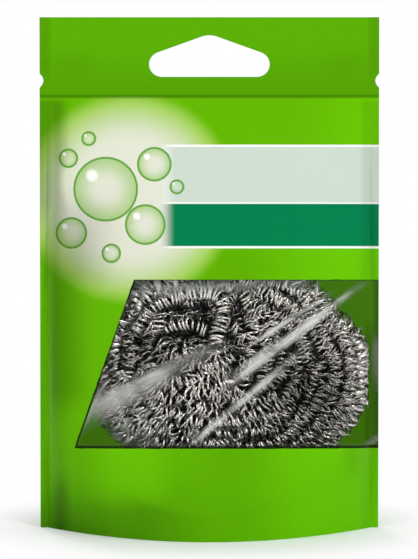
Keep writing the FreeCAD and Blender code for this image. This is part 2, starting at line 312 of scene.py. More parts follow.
def crease_shade(x, v, z):
    """How much painted shade lies in the creases beside the side welds, in the hollows near them and on the
    welds, up to the seal.
    """
    wide = v.ease(100, 75) * 1.2 + 2.4
    flank = wide + v.ease(26, 38) * v.ease(92, 76) * 7.4 + v.ease(92, 100) * 2.2
    off = x + 40.6 - v.ease(30, 12)
    depth = 0.4 - v.ease(38, 27) * v.ease(9, 17) * 0.27
    left_crease = (off / flank).most(off / wide * -1).ease(1.0, 0.0) * depth
    left_hollow = x.ease(-21, -37) * x.ease(-45, -39.5) * v.ease(92, 76) * v.ease(60, 68) * 0.38
    left_weld = x.ease(-39.3, -41.5) * v.ease(76, 88) * 0.34
    right_hollow = x.near(38.5, 4, 0) * v.ease(12, 17) * v.ease(30, 24) * 0.12
    right_weld = x.ease(39.5, 41.5) * (v.ease(75, 95) * 0.06 + 0.09)
    shade = left_crease.most(left_hollow).most(left_weld).most(right_hollow).most(right_weld)
    return shade * z.ease(SEAL_Z, SEAL_Z - 2)


def painted_glow_through(f, x, v):
    """Painted glow that stands in for light through the back film, lighter towards the upper right and
    darker towards its right weld.
    """
    within = f.mix(tone(56, 104, 6), tone(62, 113, 12), (x + v).ease(60, 110))
    within = f.mix(within, tone(44, 84, 4), x.ease(40.8, 42.2) * v.ease(58, 48) * 0.8)
    return f.mix(within, tone(26, 50, 2), x.ease(42.9, 44.6) * 0.6)


def printed_film():
    """Green print with a pale glow, two plain bands and bubbles, on glossy film, with painted light and
    shade outside, painted shade on marked inner faces and a painted glow inside the back film.
    """
    f = Finish("printed_film", Roughness=0.4, Specular_IOR_Level=0.04, Emission_Strength=1.0)
    where, x, y, z = f.place()
    v = up_front(y, z)
    front = y.ease(0.06, -0.06)
    inner = f.attribute("inner")
    green = green_with_painted_light(f, x, v, front)
    green = glow_and_bands(f, x, v, front, green)
    green = bubbles(f, x, v, front, green)
    green = f.mix(green, head_green_and_shade(f, x, z), z.ease(SEAL_Z - 0.2, SEAL_Z + 0.2))
    # Painted shade along the pressed seal line.
    green = f.mix(green, tone(48, 96, 0), z.near(SEAL_Z, 0.7, 0.1) * 0.6)
    green = f.mix(green, BLACK, crease_shade(x, v, z) * front)
    # Painted shade: marked inner faces of the films turn dark green.
    f.feed("Base Color", f.mix(green, tone(20, 42, 0), inner * 2))
    # Painted glow: the back film's inner face glows as if lit through the film.
    f.feed("Emission Color", f.mix(BLACK, painted_glow_through(f, x, v), inner * 2 - 1))
    f.feed("Roughness", f.noise(where, 60.0) * 0.16 + 0.32)
    film_bump(f, where, x, z)
    return f.material


def streak(f, x, v, start, end, wide_start, wide_end, above):
    """A soft band between two points, faded at its ends and grained lengthwise, its upper side narrower."""
    along = np.array(end) - np.array(start)
    length = float(np.hypot(*along))
    ax, av = (float(c) for c in along / length)
    run = (x - start[0]) * ax + (v - start[1]) * av
    off = (x - start[0]) * -av + (v - start[1]) * ax
    wide = run * ((wide_end - wide_start) / length) + wide_start
    ends = run.ease(-0.05 * length, 0.4 * length) * run.ease(1.05 * length, 0.6 * length)
    grain = f.noise(f.node("ShaderNodeCombineXYZ", inputs={0: run * 0.12, 1: off * 1.3}), 1.0, 3.0)
    patch = f.noise(f.node("ShaderNodeCombineXYZ", inputs={0: run * 0.11, 1: off * 0.2}), 1.0, 1.0)
    body = ((off / above).most(off * -1) / wide).ease(1.0, 0.0) * ends
    return body * (grain.ease(0.2, 0.75) * 0.6 + 0.5) * (patch.ease(0.3, 0.65) * 0.7 + 0.45)


# Painted reflections of light in the window's wrinkles, as soft streaks from dull grey to white: start,
# end, half widths at both, strength, grey, and the upper side's share.
STREAKS = (
    ((-35.6, 24.0), (-27.6, 39.0), 2.2, 2.2, 0.5, 165, 1.0),
    ((-24.0, 63.8), (24.0, 65.2), 2.8, 2.4, 0.36, 160, 0.35),
    ((-26.0, 36.2), (4.5, 50.6), 7.0, 3.4, 0.84, 124, 0.3),
    ((-36.0, 27.9), (-8.0, 41.2), 5.0, 3.6, 0.4, 172, 0.35),
    ((-37.5, 29.7), (-7.0, 44.1), 6.0, 5.4, 0.62, 197, 0.44),
    ((44.2, 36.0), (44.2, 52.0), 1.6, 1.6, 0.45, 140, 1.0),
    ((40.0, 20.5), (46.0, 25.0), 1.5, 1.5, 0.5, 150, 1.0),
    ((2.0, 38.0), (22.0, 53.0), 1.4, 1.0, 0.25, 220, 1.0),
    ((-11.0, 17.2), (28.1, 50.2), 1.6, 2.0, 0.42, 246, 1.0),
    ((6.0, 45.7), (34.0, 63.5), 1.1, 1.2, 0.47, 240, 1.0),
    ((0.2, 34.8), (43.4, 66.9), 2.8, 1.6, 0.58, 242, 1.0),
)
CLEAR_HAZE = 0.006


def clear_film():
    """Clear film with painted reflections as soft streaks, and a painted shadow as a thin dark line along
    the edge of the print.
    """
    f = Finish("clear_film", Roughness=0.3, Specular_IOR_Level=0.1, IOR=1.45)
    where, x, y, z = f.place()
    v = up_front(y, z)
    haze_and_reflection = x * 0 + CLEAR_HAZE
    grey = tone(136, 134, 132)
    # Painted reflections: each streak greys the film and makes it less clear.
    for start, end, wide_start, wide_end, strength, level, above in STREAKS:
        share = streak(f, x, v, start, end, wide_start, wide_end, above) * strength
        grey = f.mix(grey, tone(level, level - 1, level - 4), share.ease(0.03, 0.3))
        haze_and_reflection = haze_and_reflection.most(share)
    # Painted shadow of the print's cut edge: a thin dark line along the window's slanted side and foot,
    # fainter at its head.
    slant = math.atan2(WINDOW_LEFT_HEAD - WINDOW_LEFT_FOOT, WINDOW_HEAD - WINDOW_FOOT)
    left = (x - WINDOW_LEFT_FOOT) * math.cos(slant) - (v - WINDOW_FOOT) * math.sin(slant)
    edge = (left.ease(0.7, 0.05) * 0.75).most((v - WINDOW_FOOT).ease(1.3, 0.05) * 0.7)
    edge = edge.most((v - WINDOW_HEAD).ease(-0.4, -0.02) * 0.5)
    f.feed("Base Color", f.mix(grey, tone(14, 30, 2), edge.ease(0.0, 0.3)))
    f.feed("Alpha", haze_and_reflection.most(edge))
    f.feed("Roughness", f.noise(where, 90.0) * 0.12 + 0.24)
    f.bump(f.noise(where, 40.0, 2.0), *FILM_BUMP)
    return f.material


# Linear colours of the steel: white of the painted highlights on the tips, near black of the painted shade
# in the folds, and the bright and dark flecks of ribbon and of the core, which is nearly black as painted
# shade.
TIP_HIGHLIGHT = (0.95, 0.95, 0.93, 1)
PAINTED_SHADE_STEEL = (0.019, 0.0155, 0.0095, 1)
RIBBON_STEEL = ((0.96, 0.93, 0.875, 1), (0.5, 0.48, 0.44, 1))
CORE_SHADE_STEEL = ((0.05, 0.048, 0.045, 1), (0.02, 0.019, 0.018, 1))


def steel_with_painted_light(name, bright, dark, rough):
    """Drawn steel: flecked, with painted shade that makes it nearly black in the folds and painted
    highlights that make the tips of the rim white.
    """
    f = Finish(name, Metallic=1.0, Roughness=rough, Specular_IOR_Level=0.5)
    where = f.where()
    # The fold mark holds painted shade, and below zero painted highlight.
    fold = f.attribute("fold")
    fleck = f.noise(where, 900.0, 2.0).ease(0.3, 0.7)
    tip_glint = (fold * -1).ease(0.0, 1.0)
    metal = f.mix(f.mix(dark, bright, fleck), TIP_HIGHLIGHT, tip_glint)
    # Painted shade: nearly black where the fold mark is high.
    f.feed("Base Color", f.mix(metal, PAINTED_SHADE_STEEL, fold * 0.94))
    f.feed("Metallic", 1 - tip_glint * 0.8)
    f.feed("Roughness", fleck * 0.14 + (rough - 0.06))
    f.bump(f.noise(where, 2600.0, 1.0), 0.2, 0.0001)
    return f.material


def bulge(z):
    """How far the inside of a panel stands out from the middle plane on the centre line."""
    return BULGE * (1 - (np.clip(z, 0, SEAL_Z) / SEAL_Z) ** BULGE_POWER)


def fullness(z):
    """Power of the section at a height: an arc at the floor, an ellipse at the scrubber, a lens above."""
    low = 1.2 * (1 - np.clip(z, 0, None) / MIDDLE[2]) ** 2
    high = 0.7 * ((np.clip(z, 0, SEAL_Z) - MIDDLE[2]) / (SEAL_Z - MIDDLE[2])) ** 2
    return 0.8 + np.where(z < MIDDLE[2], low, high)


def belly(x, z):
    """Depth of a panel at a place across and up it."""
    return bulge(z) * np.clip(1 - (x / BELLY_HALF) ** 2, 0, 1) ** (fullness(z) / 2)


def pick(piece=None):
    """Leaves edit mode and selects one piece alone, or none."""
    if bpy.context.object and bpy.context.object.mode != "OBJECT":
        bpy.ops.object.mode_set(mode="OBJECT")
    bpy.ops.object.select_all(action="DESELECT")
    if piece:
        piece.select_set(True)
        bpy.context.view_layer.objects.active = piece


def edit_all(piece):
    """Opens a piece in edit mode with all of it selected."""
    pick(piece)
    bpy.ops.object.mode_set(mode="EDIT")
    bpy.ops.mesh.select_all(action="SELECT")


def grid(name, columns, rows, place):
    """A grid of so many points each way, each moved to its place by a function of its two shares."""
    pick()
    bpy.ops.mesh.primitive_grid_add(x_subdivisions=columns - 1, y_subdivisions=rows - 1, size=2.0)
    sheet = bpy.context.object
    sheet.name = name
    flat = np.empty(len(sheet.data.vertices) * 3)
    sheet.data.vertices.foreach_get("co", flat)
    flat = flat.reshape(-1, 3)
    moved = np.array(place((flat[:, 0] + 1) / 2, (flat[:, 1] + 1) / 2)).T * MM
    sheet.data.vertices.foreach_set("co", moved.ravel())
    sheet.data.update()
    return sheet


# Points across and up a panel and the gusset, and round and up the core.
PANEL_POINTS = (97, 121)
GUSSET_POINTS = (61, 49)
CORE_POINTS = (121, 61)

# Shares of a panel's points: in each side weld, and up to the rows that follow the tear notches.
WELD_SHARE = 0.05
PLAIN_SHARE = 0.92
NOTCH_ROWS = 2.4


def across(share):
    """Share of the pouch's width to millimetres: flat side welds, then the belly, closer near its ends."""
    turn = np.clip((share - WELD_SHARE) / (1 - 2 * WELD_SHARE), 0, 1)
    x = BELLY_HALF * np.sin(math.pi * (turn - 0.5))
    out = (HALF_WIDTH - BELLY_HALF) / WELD_SHARE
    left = np.clip(WELD_SHARE - share, 0, None)
    right = np.clip(share - 1 + WELD_SHARE, 0, None)
    return x - out * left + out * right


def ripples(x, z, side):
    """Slight waves of the film: long ones in the belly, and short puckers that run in from the welds."""
    inner = np.clip(1 - (x / BELLY_HALF) ** 2, 0, 1)
    calm = np.clip((SEAL_Z - z) / 12, 0, 1) * np.clip(z / 8, 0, 1)
    long = 0.22 * np.sin(x / 7.3 + z / 11.0 + side) * np.sin(z / 13.7 - x / 19.0 + 2 * side)
    reach = np.exp(-((np.abs(x) - 36.0) / 4.2) ** 2)
    pucker = 0.3 * reach * np.sin(z / 2.6 + 1.5 * np.sin(z / 8.1) + side)
    return (long * inner**0.5 + pucker * inner) * calm


def side_edge(z):
    """Half the pouch's width at a height, less in the tear notches."""
    dip = np.clip(NOTCH_RADIUS**2 - (z - TEAR_Z) ** 2, 0, None) ** 0.5
    return np.minimum(HALF_WIDTH, HALF_WIDTH + NOTCH_RADIUS - NOTCH_DEPTH - dip)


def panel_place(side):
    """Places of a panel's points: side -1 is the front and 1 the back."""

    def place(s, t):
        plain = t / PLAIN_SHARE * (TEAR_Z - NOTCH_ROWS)
        notched = TEAR_Z - NOTCH_ROWS * (1 - t) / (1 - PLAIN_SHARE)
        z = np.where(t < PLAIN_SHARE, plain, notched)
        x = np.clip(across(s), -side_edge(z), side_edge(z))
        depth = FILM + belly(x, z) + ripples(x, z, side)
        return x, side * depth, z

    return place


def finish_piece(piece, material, body, slot, *nodes):
    piece.data.materials.clear()
    piece.data.materials.append(material)
    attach(piece, body)
    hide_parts(*nodes)


def thicken(piece, thickness):
    """Gives a film its thickness inwards and smooths it."""
    pick(piece)
    wall = piece.modifiers.new("wall", "SOLIDIFY")
    wall.thickness = thickness * MM
    wall.offset = -1.0
    bpy.ops.object.modifier_apply(modifier=wall.name)
    bpy.ops.object.shade_smooth_by_angle(angle=math.radians(50))


# Marks of a printed film's inner face: dark film as painted shade, and dark film with a painted glow that
# stands in for light from behind.
SHADED_INSIDE = 0.5
GLOWING_INSIDE = 1.0


def thicken_printed(film, inside):
    """Thickens a printed film and marks its inner face."""
    outer = len(film.data.vertices)
    thicken(film, PRINTED_WALL)
    inner = np.arange(len(film.data.vertices)) >= outer
    film.data.attributes.new("inner", "FLOAT", "POINT").data.foreach_set("value", inner * inside)


def face_out(piece, way):
    """Turns a sheet's faces so that most point a given way."""
    normals = np.empty(len(piece.data.polygons) * 3)
    piece.data.polygons.foreach_get("normal", normals)
    if normals.reshape(-1, 3).mean(axis=0) @ np.array(way) < 0:
        piece.data.flip_normals()


def cut_along(piece, point, normal):
    """Adds an edge line right across a sheet where a plane crosses it."""
    edit_all(piece)
    bpy.ops.mesh.bisect(plane_co=point, plane_no=normal)
    bpy.ops.object.mode_set(mode="OBJECT")


def front_and_window(paper, clear):
    """Front film with the window cut out of it as a sheet of its own."""
    film = grid("front_film_sheet", *PANEL_POINTS, panel_place(-1))
    face_out(film, (0, -1, 0))
    slope = RIGHT * (WINDOW_LEFT_HEAD - WINDOW_LEFT_FOOT) + RISE * (WINDOW_HEAD - WINDOW_FOOT)
    toward = np.cross(OUT, slope / np.linalg.norm(slope))
    toward = toward * np.sign(toward[0])
    corner = RIGHT * WINDOW_LEFT_FOOT + RISE * WINDOW_FOOT
    lines = (
        (corner * MM, toward),
        (RISE * WINDOW_FOOT * MM, RISE),
        (RISE * WINDOW_HEAD * MM, -RISE),
    )
    for point, normal in lines:
        cut_along(film, tuple(point), tuple(normal))
    centres = np.empty(len(film.data.polygons) * 3)
    film.data.polygons.foreach_get("center", centres)
    centres = centres.reshape(-1, 3)
    inside = np.all([(centres - point) @ normal > 0 for point, normal in lines], axis=0)
    film.data.polygons.foreach_set("select", inside)
    bpy.ops.object.mode_set(mode="EDIT")
    bpy.ops.mesh.separate(type="SELECTED")
    bpy.ops.object.mode_set(mode="OBJECT")
    window = next(o for o in bpy.context.selected_objects if o != film)
    window.name = "window_pane"
    # Painted shade: the front film's inner face is marked to turn dark.
    thicken_printed(film, SHADED_INSIDE)
    thicken(window, CLEAR_WALL)
    finish_piece(film, paper, "pouch", "printed_film", "front_film")
    finish_piece(window, clear, "pouch", "clear_film", "window_film")


def back(paper):
    """Back film in one sheet, with a painted glow on its inner face that stands in for light from behind.
    """
    film = grid("back_film_sheet", *PANEL_POINTS, panel_place(1))
    face_out(film, (0, 1, 0))
    # Painted glow: the back film's inner face is marked to glow.
    thicken_printed(film, GLOWING_INSIDE)
    finish_piece(film, paper, "pouch", "printed_film", "back_film")


def gusset_crest(x):
    """Height of the floor film's ridge across the pouch."""
    return GUSSET_RISE + GUSSET_FLARE * (x / (BELLY_HALF - FILM)) ** 2


def gusset(paper):
    """Folded floor: an arch across the pouch whose feet stand inside the panels."""

    def place(s, t):
        x = (2 * s - 1) * 0.985 * (BELLY_HALF - FILM)
        along = x / (BELLY_HALF - FILM)
        turn = math.pi * t
        foot = BULGE * (1 - along**2) - 0.15
        fold = 0.5 * np.exp(-((t - 0.5) / 0.03) ** 2)
        return x, -foot * np.cos(turn), (gusset_crest(x) - fold) * np.sin(turn) ** 0.9

    film = grid("gusset_sheet", *GUSSET_POINTS, place)
    face_out(film, (0, 0, 1))
    thicken(film, PRINTED_WALL)
    finish_piece(film, paper, "pouch", "printed_film", "bottom_gusset")


def arc_points(centre, radius, start, end, count):
    turns = np.radians(np.linspace(start, end, count))
    return [(centre[0] + radius * math.cos(a), centre[1] + radius * math.sin(a)) for a in turns]


def header(paper):
    """Welded strip at the top, with its hang hole and the upper half of each tear notch."""
    reach = HALF_WIDTH + NOTCH_RADIUS - NOTCH_DEPTH
    open_turn = math.degrees(math.acos((reach - HALF_WIDTH) / NOTCH_RADIUS))
    outline = arc_points((reach, TEAR_Z), NOTCH_RADIUS, 180, 180 - open_turn, 9)
    outline += [(HALF_WIDTH, TOP_Z), (-HALF_WIDTH, TOP_Z)]
    outline += arc_points((-reach, TEAR_Z), NOTCH_RADIUS, open_turn, 0, 9)
    low = SEAL_Z + HOLE_FOOT + HOLE_END
    high = SEAL_Z + HOLE_FOOT + HOLE_HEIGHT - HOLE_PEAK
    climb = math.atan2(high - low, HOLE_SPAN)
    spread = math.asin((HOLE_PEAK - HOLE_END) / math.hypot(high - low, HOLE_SPAN))
    tilt = math.degrees(climb + spread)
    hole = arc_points((HOLE_SPAN, low), HOLE_END, -90, 90 - tilt, 14)
    hole += arc_points((0, high), HOLE_PEAK, 90 - tilt, 90 + tilt, 16)
    hole += arc_points((-HOLE_SPAN, low), HOLE_END, 90 + tilt, 270, 14)
    mesh = bpy.data.meshes.new("header_strip")
    points = [(x * MM, -FILM * MM, z * MM) for x, z in outline + hole]
    n, m = len(outline), len(hole)
    edges = [(i, (i + 1) % n) for i in range(n)] + [(n + i, n + (i + 1) % m) for i in range(m)]
    mesh.from_pydata(points, edges, [])
    strip = bpy.data.objects.new("header_strip", mesh)
    bpy.context.collection.objects.link(strip)
    edit_all(strip)
    bpy.ops.mesh.fill(use_beauty=True)
    bpy.ops.object.mode_set(mode="OBJECT")
    face_out(strip, (0, -1, 0))
    thicken(strip, 2 * FILM)
    finish_piece(strip, paper, "pouch", "printed_film", "tear_off_header")


def mesh_of(name, points, faces, folds):
    """Object from points in millimetres, four-cornered faces and the painted shade of each point."""
    mesh = bpy.data.meshes.new(name)
    mesh.vertices.add(len(points))
    mesh.vertices.foreach_set("co", (points * MM).ravel())
    mesh.loops.add(faces.size)
    mesh.loops.foreach_set("vertex_index", faces.ravel())
    mesh.polygons.add(len(faces))
    mesh.polygons.foreach_set("loop_start", np.arange(0, faces.size, 4))
    mesh.update(calc_edges=True)
    mesh.validate()
    mesh.polygons.foreach_set("use_smooth", np.ones(len(faces), dtype=bool))
    # The fold attribute holds painted shade, below zero painted highlight.
    mesh.attributes.new("fold", "FLOAT", "POINT").data.foreach_set("value", folds)
    piece = bpy.data.objects.new(name, mesh)
    bpy.context.collection.objects.link(piece)
    return piece


# The strands: how many, the place they fold out from, and the seed of the first.
STRANDS = 12
HUB = np.array((-1.2, 0.0, 55.7))
FIRST_SEED = 100
HALF_SECTOR = math.pi / STRANDS

# How far the core lies under the ball's surface each way.
CORE_DEPTH = np.array((1.7, 5.0, 1.7))

# Points along a strand's path in one sweep across its sector, and along one turn of its ribbon.
SWEEP_STEPS = 16
TURN_STEPS = 10

# Hollows of the front where the strands sink in: place across and up, half sizes and depth.
DENTS = (
    (-8.5, 57.0, 6.0, 2.4, 7.0), (-7.0, 50.4, 6.0, 2.6, 7.0),
    (8.2, 58.5, 2.8, 4.0, 6.0), (-1.0, 56.5, 2.2, 3.0, 6.0),
    (6.0, 48.5, 2.4, 3.0, 4.0), (6.0, 40.5, 2.5, 4.0, 2.5),
    (24.0, 38.0, 3.0, 5.0, 2.5), (-17.0, 48.0, 5.0, 3.0, 3.0),
)
DENTS_OUT = 12.0

# Where the outline swells or falls in: the turn from the right end, its spread and the share of the radius.
SWELLS = (
    (2.3, 0.4, 0.06), (0.65, 0.28, -0.06), (0.06, 0.25, 0.025),
    (-0.65, 0.25, -0.045), (-2.5, 0.3, -0.04), (-2.95, 0.2, -0.02),
)


def height_of(up, out):
    """Height above the floor of a place up the leaning front that stands so far out."""
    return (up + out * math.sin(LEAN)) / math.cos(LEAN)


def full_outline(points):
    """Swells a round outline to the fuller, slightly square one of the squashed ball."""
    x, _, z = ((points - MIDDLE) / HALF_SIZE).T
    plain = np.hypot(x, z) + 1e-9
    square = (np.abs(x) ** ROUND_POWER + np.abs(z) ** ROUND_POWER) ** (1 / ROUND_POWER) + 1e-9
    swell = 1 + (plain / square - 1) * np.clip(plain, 0, 1) ** 2
    turn = np.arctan2(z, x)
    for way, wide, more in SWELLS:
        swell += more * np.exp(-(((turn - way) / wide) ** 2)) * np.clip(plain, 0, 1)
    return MIDDLE + (points - MIDDLE) * np.stack((swell, np.ones_like(swell), swell), axis=1)


def on_ball(way, share, depth):
    """Places under the ball's surface, by the way out from the hub and the share from front to back."""
    size = HALF_SIZE - depth
    out = np.stack((np.cos(way), np.zeros_like(way), np.sin(way)), axis=1)
    flat = np.array((1 / size[0], 0.0, 1 / size[2]))
    from_middle = (HUB - MIDDLE) * flat
    step = out * flat
    a, b, c = (step**2).sum(axis=1), step @ from_middle, from_middle @ from_middle - 1
    root = np.sqrt(b * b - a * c)
    half = root / a
    chord = HUB + out * (-b / a)[:, None]
    thick = size[1] * np.sqrt(np.clip(1 - (((chord - MIDDLE) * flat) ** 2).sum(axis=1), 0.05, 1))
    start = np.arcsin(np.clip(b / root, -1, 1))
    turn = start + (math.pi - 2 * start) * share
    places = chord + out * (half * np.sin(turn))[:, None]
    places[:, 1] = -thick * np.cos(turn)
    return full_outline(places)


def folded_path(middle, depth, spacing, rng, begin):
    """Line of a strand that folds to and fro across its sector, from the hub over the rim to the back."""
    end = 1 - begin
    straight = on_ball(np.full(60, middle), np.linspace(begin, end, 60), depth)
    sweeps = int(np.linalg.norm(np.diff(straight, axis=0), axis=1).sum() / spacing)
    run = np.linspace(0, sweeps, sweeps * SWEEP_STEPS)
    marks = np.arange(0, sweeps + 1.01, 0.5)

    def drift(low, high):
        return np.interp(run, marks, rng.uniform(low, high, len(marks)))

    to_and_fro = np.arcsin(0.97 * np.sin(math.pi * run + rng.uniform(0, 6))) * 2 / math.pi
    way = middle + HALF_SECTOR * (to_and_fro * drift(0.8, 1.6) + drift(-0.4, 0.4))
    share = begin + (end - begin) * (run + drift(-0.45, 0.45)) / sweeps
    return settle(on_ball(way, share, depth), drift(0.0, 0.9))


def settle(path, sink):
    """Lets a line sink below the ball's surface, and into the hollows of its front."""
    for x, up, half_x, half_up, deep in DENTS:
        off = ((path[:, 0] - x) / half_x) ** 2 + ((path[:, 2] - height_of(up, DENTS_OUT)) / half_up) ** 2
        sink = sink + deep * np.exp(-off) * (path[:, 1] < 0)
    path[:, 1] -= np.sign(path[:, 1]) * np.minimum(sink, np.abs(path[:, 1]) * 0.85)
    return path


# How far the wild turns may pass the ball's right and left ends, how softly they are held there,
# and the room that is left over the gusset and inside the films.
PAST_RIGHT = 0.9
PAST_LEFT = 0.3
SOFT_END = 1.6
GUSSET_ROOM = 0.4
FILM_ROOM = 0.75


def inside_pouch(points):
    """Presses points back inside the films, at both ends of the scrubber's travel."""
    far = points[:, 0] - MIDDLE[0]
    end = HALF_SIZE[0] + np.where(far > 0, PAST_RIGHT, PAST_LEFT) - SOFT_END
    over = np.clip(np.abs(far) - end, 0, None)
    held = np.minimum(np.abs(far), end) + SOFT_END * (1 - np.exp(-over / SOFT_END))
    x = MIDDLE[0] + np.sign(far) * held
    lowest = np.maximum(gusset_crest(x), gusset_crest(x - TRAVEL)) + GUSSET_ROOM
    z = np.maximum(points[:, 2], lowest)
    room = np.minimum(belly(x, z), belly(x - TRAVEL, z)) - FILM_ROOM
    y = np.clip(points[:, 1], -room, room)
    return np.stack((x, y, z), axis=1)


# Painted light and shade on the steel: place across and up, half sizes and how much is added.
SHADES = (
    (30.0, 36.0, 18.0, 20.0, -0.72), (-19.0, 48.5, 8.0, 6.0, -0.6),
    (-4.0, 20.0, 26.0, 13.0, 0.7), (-24.0, 26.0, 8.0, 9.0, 0.6),
    (-28.0, 46.0, 6.0, 8.0, 0.7), (34.0, 22.0, 8.0, 7.0, 0.5),
    (5.0, 68.0, 45.0, 3.6, 1.7), (14.0, 40.5, 7.0, 5.0, -0.25),
)


def shade_at(points):
    """How brightly steel shows by its place, as painted light and shade."""
    x, _, z = points.T
    shade = np.ones(len(points))
    for middle, up, half_x, half_up, more in SHADES:
        shade += more * np.exp(-(((x - middle) / half_x) ** 2) - ((z - up) / half_up) ** 2)
    return shade


# The rim: where it begins and over how much it grows full, as shares of the outline, how much painted light
# it gets at least, how much more painted highlight its tips get, and how much less of both at the right
# end, within a half height.
RIM_FROM = 0.88
RIM_WIDE = 0.1
RIM_PAINTED_LIGHT = 0.56
TIP_PAINTED_HIGHLIGHT = 0.85
RIGHT_LESS = 0.6
RIGHT_TALL = 13

# Corners of the ribbon's section: shares of its thickness outwards and of its width along the path.
RIBBON_CORNERS = ((0.5, 0.5), (0.5, -0.5), (-0.5, -0.5), (-0.5, 0.5))


def rope(path, radius, pitch, ribbon, rng, order=0.0):
    """Flat ribbon wound round a path: its points, its faces and the painted shade at each point, below zero
    for a painted highlight.
    """
    steps = np.diff(path, axis=0)
    lengths = np.concatenate(([0], np.cumsum(np.linalg.norm(steps, axis=1))))
    turns = max(int(lengths[-1] / pitch), 6)
    count = turns * TURN_STEPS
    turn = np.arange(count + 1) / TURN_STEPS

    def loose(low, high):
        mean = (low + high) / 2
        low, high = mean + (low - mean) * (1 - order), mean + (high - mean) * (1 - order)
        return np.interp(turn, np.arange(turns + 1), rng.uniform(low, high, turns + 1))

    def along_path(goals):
        return np.stack([np.interp(goals, lengths, path[:, k]) for k in range(3)], axis=1)

    # The line the ribbon winds round, with the ways along, out of and across it.
    even = turn * lengths[-1] / turns
    middle = along_path(np.clip(even + loose(-0.45, 0.45) * pitch, 0, lengths[-1]))
    along = np.gradient(along_path(even), axis=0)
    along /= np.linalg.norm(along, axis=1)[:, None]
    normal = (middle - MIDDLE) / HALF_SIZE**2
    normal -= along * (normal * along).sum(axis=1)[:, None]
    normal /= np.linalg.norm(normal, axis=1)[:, None]
    other = np.cross(along, normal)

    # The turns, of uneven size and tilt, with longer spikes at the rim.
    wind = turn * 2 * math.pi + rng.uniform(0, 6)
    rise, reach = np.cos(wind)[:, None], np.sin(wind)[:, None]
    outward = normal * rise + other * reach
    round_size = radius * np.clip(loose(0.62, 1.3), 0.6, 1.25)[:, None]
    tilt = along * (rise * loose(-0.75, 0.75)[:, None] + reach * loose(-0.6, 0.6)[:, None])
    x, _, z = np.abs((middle - MIDDLE) / (HALF_SIZE - radius)).T
    outline = (x**ROUND_POWER + z**ROUND_POWER) ** (1 / ROUND_POWER)
    rim = np.clip((outline - RIM_FROM) / RIM_WIDE, 0, 1)
    spike = np.clip(loose(-1.6, 1.6), 0, 1) * rim
    round_size = round_size * (1 + rim * loose(-0.1, 0.45) + 0.6 * spike)[:, None]
    wire = middle + round_size * (outward + tilt)

    # Painted light and shade of the steel, as how much of it shows: painted shade in the folds and deep
    # inside, painted light at the rim and painted highlights on its tips.
    level = np.sqrt((((wire - MIDDLE) / HALF_SIZE) ** 2).sum(axis=1))
    shade = shade_at(wire)
    right_end = np.exp(-(((middle[:, 2] - MIDDLE[2]) / RIGHT_TALL) ** 2)) * (middle[:, 0] > MIDDLE[0])
    lit = 1 - RIGHT_LESS * right_end
    shown = np.clip((rise[:, 0] + 0.4) / 1.1, 0, 1) * np.clip((level - 0.7) / 0.22, 0.14, 1) * shade
    rim_light = RIM_PAINTED_LIGHT * lit * np.clip(2 * rim - 1, 0, 1) * np.clip(rise[:, 0] + 0.9, 0, 1)
    shown = np.minimum(np.maximum(shown, rim_light) * loose(0.5, 1.25), np.maximum(shade, 1))
    shown += TIP_PAINTED_HIGHLIGHT * lit * spike * np.clip(1.5 * rise[:, 0], 0, 1)

    # The flat ribbon along the turns.
    wide, thin = ribbon
    flat = along * (wide * (1 + 1.6 * spike))[:, None]
    corners = [wire + outward * (thin * a) + flat * b for a, b in RIBBON_CORNERS]
    points = inside_pouch(np.stack(corners, axis=1).reshape(-1, 3))
    first = np.arange(count)[:, None] * 4
    ring = np.arange(4)
    after = (ring + 1) % 4
    faces = np.stack((first + ring, first + after, first + 4 + after, first + 4 + ring), axis=2)
    return points, faces.reshape(-1, 4), np.repeat(1 - shown, 4)


def gather(name, ropes):
    """One object from the ropes of a strand."""
    points, faces, folds = zip(*ropes)
    starts = np.cumsum([0] + [len(part) for part in points[:-1]])
    faces = np.concatenate([part + start for part, start in zip(faces, starts)])
    return mesh_of(name, np.concatenate(points), faces, np.concatenate(folds))


# Ropes that lie on top at the middle of the front, by strand: points across and up it, radius, depth
# and how even they are.
TOP_ROPES = {
    5: (((-20.0, 52.0), (-17.7, 55.8), (-14.5, 59.4), (-9.2, 61.6), (-3.9, 62.4), (0.1, 62.6), (3.1, 61.4),
         (3.9, 58.8), (3.6, 55.8), (2.5, 52.6), (1.5, 49.1), (1.6, 45.0)), 2.35, -0.8, 0.6),
    7: (((-12.0, 52.5), (-9.0, 54.0), (-6.0, 54.4), (-3.0, 53.8), (-0.5, 52.0)), 1.9, 1.6, 0.5),
    1: (((8.5, 63.0), (10.5, 59.0), (12.0, 55.0), (12.0, 50.0), (10.0, 45.5)), 1.8, 1.0, 0.2),
    10: (((-12.0, 46.0), (-7.0, 44.5), (-2.0, 43.0), (3.0, 43.5), (7.0, 46.0)), 1.9, 0.4, 0.2),
}
TOP_PITCH = 1.1
TOP_RIBBON = (0.55, 0.16)
TOP_STEPS = 12
TOP_SMOOTH = 13


def top_rope(points, radius, depth):
    """Line over the front of the ball through places across and up it."""
    share = np.linspace(0, 1, TOP_STEPS * len(points))
    known = np.linspace(0, 1, len(points))
    x, up = (np.interp(share, known, [point[k] for point in points]) for k in range(2))
    smooth = np.ones(TOP_SMOOTH) / TOP_SMOOTH
    padded = [np.pad(line, TOP_SMOOTH // 2, mode="edge") for line in (x, up)]
    x, up = (np.convolve(line, smooth, mode="valid") for line in padded)
    out = np.full_like(x, HALF_SIZE[1])
    for _ in range(4):
        z = height_of(up, out)
        level = 1 - ((x - MIDDLE[0]) / HALF_SIZE[0]) ** 2 - ((z - MIDDLE[2]) / HALF_SIZE[2]) ** 2
        out = HALF_SIZE[1] * np.sqrt(np.clip(level, 0.05, 1)) - radius - depth
    return np.stack((x, -out, height_of(up, out)), axis=1)


